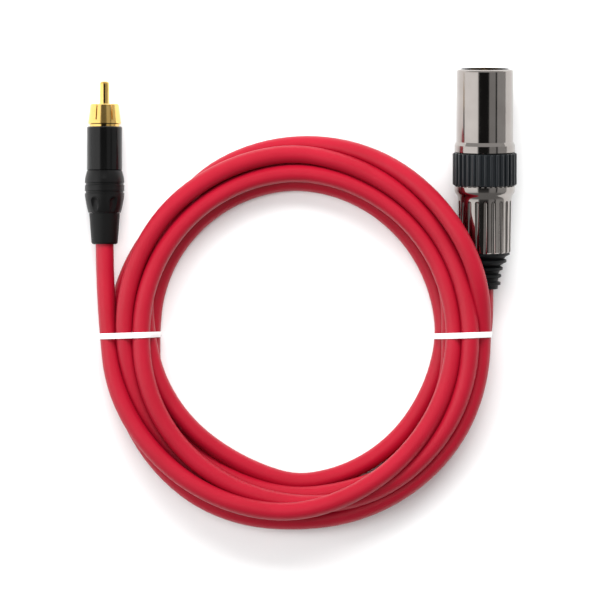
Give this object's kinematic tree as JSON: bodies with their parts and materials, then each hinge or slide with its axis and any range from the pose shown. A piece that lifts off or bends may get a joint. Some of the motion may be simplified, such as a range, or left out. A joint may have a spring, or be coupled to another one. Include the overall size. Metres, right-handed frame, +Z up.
{
  "type": "xlr cable coil",
  "caption": "Round red audio cable tied in a flat coil, with a male XLR plug with a knurled coupling ring on one end and an RCA plug with a slotted collar on the other.",
  "frame": {"origin": "on the surface the cable lies on, under the middle of the box that holds the two plugs", "axes": "+Y the way both plugs point, +X from the RCA plug towards the XLR plug, +Z up"},
  "size_m": [0.1442, 0.1544, 0.0234],
  "materials": {
    "jacket_red": "satin PVC",
    "black_nickel": "polished black nickel",
    "ring_black": "satin black nylon",
    "boot_rubber": "matt black rubber",
    "barrel_gloss_black": "gloss black",
    "grip_black": "satin black",
    "tail_black": "matt black",
    "gold": "polished gold plating",
    "insert_black": "matt black",
    "spring_metal": "tinned spring metal",
    "chuck_plastic": "natural nylon",
    "core_red": "wire insulation",
    "core_white": "wire insulation",
    "copper": "bare tinned copper braid",
    "tie_white": "white plastic ribbon"
  },
  "bodies": {
    "root": {"xlr_front_shell": "black_nickel", "xlr_pin_insert": "insert_black", "xlr_pin_1": "gold", "xlr_pin_2": "gold", "xlr_pin_3": "gold", "xlr_ground_spring": "spring_metal", "xlr_ring_clip": "spring_metal", "xlr_cable_chuck": "chuck_plastic", "xlr_core_hot": "core_red", "xlr_core_cold": "core_white", "xlr_drain_wire": "copper", "rca_center_pin": "gold", "rca_insulator": "insert_black", "rca_outer_contact": "gold", "rca_cable_clamp": "spring_metal", "rca_core_hot": "core_red", "rca_drain_wire": "copper", "cable_coil": "jacket_red", "cable_lead_rca": "jacket_red", "cable_lead_xlr": "jacket_red", "tie_left": "tie_white", "tie_right": "tie_white"},
    "xlr_ring": {"xlr_coupling_ring": "ring_black"},
    "xlr_tail": {"xlr_rear_shell": "black_nickel", "xlr_boot": "boot_rubber"},
    "rca_tail": {"rca_tail_sleeve": "tail_black"},
    "rca_shell": {"rca_barrel": "barrel_gloss_black", "rca_grip_sleeve": "grip_black"}
  },
  "joints": [
    {"name": "xlr_ring_turn", "type": "hinge", "parent": "root", "child": "xlr_ring", "pos_m": [0.0614, 0.00329, 0.0111], "axis": [0, 0.9962, 0.0867], "range_deg": [0, 1080]},
    {"name": "xlr_tail_slide", "type": "slide", "parent": "root", "child": "xlr_tail", "axis": [0, -0.9962, -0.0867], "range_m": [0, 0.003]},
    {"name": "rca_tail_slide", "type": "slide", "parent": "root", "child": "rca_tail", "axis": [0, -1, 0], "range_m": [0, 0.00375]},
    {"name": "rca_barrel_turn", "type": "hinge", "parent": "rca_tail", "child": "rca_shell", "pos_m": [-0.0655, 0.00324, 0.0066], "axis": [0, -1, 0], "range_deg": [0, 1800]}
  ],
  "couplings": [
    {"joint": "xlr_ring_turn", "follows": "xlr_tail_slide", "rad_per_m": 6283},
    {"joint": "rca_tail_slide", "follows": "rca_barrel_turn", "m_per_rad": 0.00011936}
  ]
}
